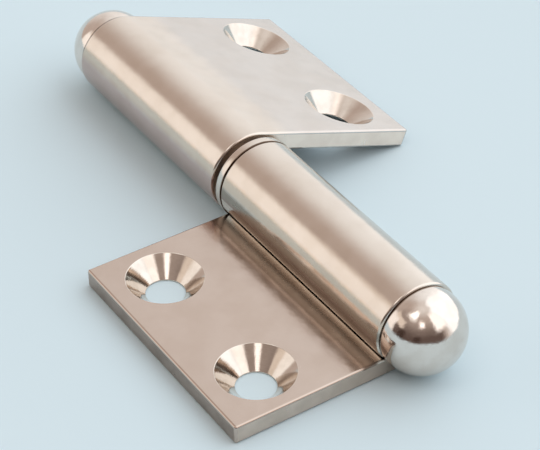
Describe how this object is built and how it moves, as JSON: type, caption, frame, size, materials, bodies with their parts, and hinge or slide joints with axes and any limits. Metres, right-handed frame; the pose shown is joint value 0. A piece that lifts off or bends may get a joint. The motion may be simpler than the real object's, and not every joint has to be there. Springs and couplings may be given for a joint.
{
  "type": "lift off hinge",
  "caption": "Lift off hinge with flat leaves rolled into knuckles, countersunk screw holes, a washer and ball tips.",
  "frame": {"origin": "on the pin axis, halfway between the facing ends of the two knuckles, which is also halfway between the ball tips", "axes": "+Y along the pin, the way the door leaf lifts off; +Z out of the frame leaf's front, so its back faces -Z; the frame leaf reaches towards -X and the door leaf towards +X"},
  "size_m": [0.0594, 0.0962, 0.0134],
  "materials": {
    "satin_nickel": "satin nickel plating on steel sheet, warm in tone",
    "bright_nickel": "bright polished nickel plating on turned steel"
  },
  "bodies": {
    "frame": {"frame_leaf": "satin_nickel", "hinge_pin": "bright_nickel", "frame_ball_tip": "bright_nickel"},
    "turning_washer": {"washer": "satin_nickel"},
    "door": {"door_leaf": "satin_nickel", "door_ball_tip": "bright_nickel"}
  },
  "joints": [
    {"name": "swing", "type": "hinge", "parent": "frame", "child": "turning_washer", "pos_m": [0, 0, 0], "axis": [0, 1, 0], "continuous": true},
    {"name": "lift_off", "type": "slide", "parent": "turning_washer", "child": "door", "axis": [0, 1, 0], "range_m": [-0.0011, 0.0295]}
  ]
}
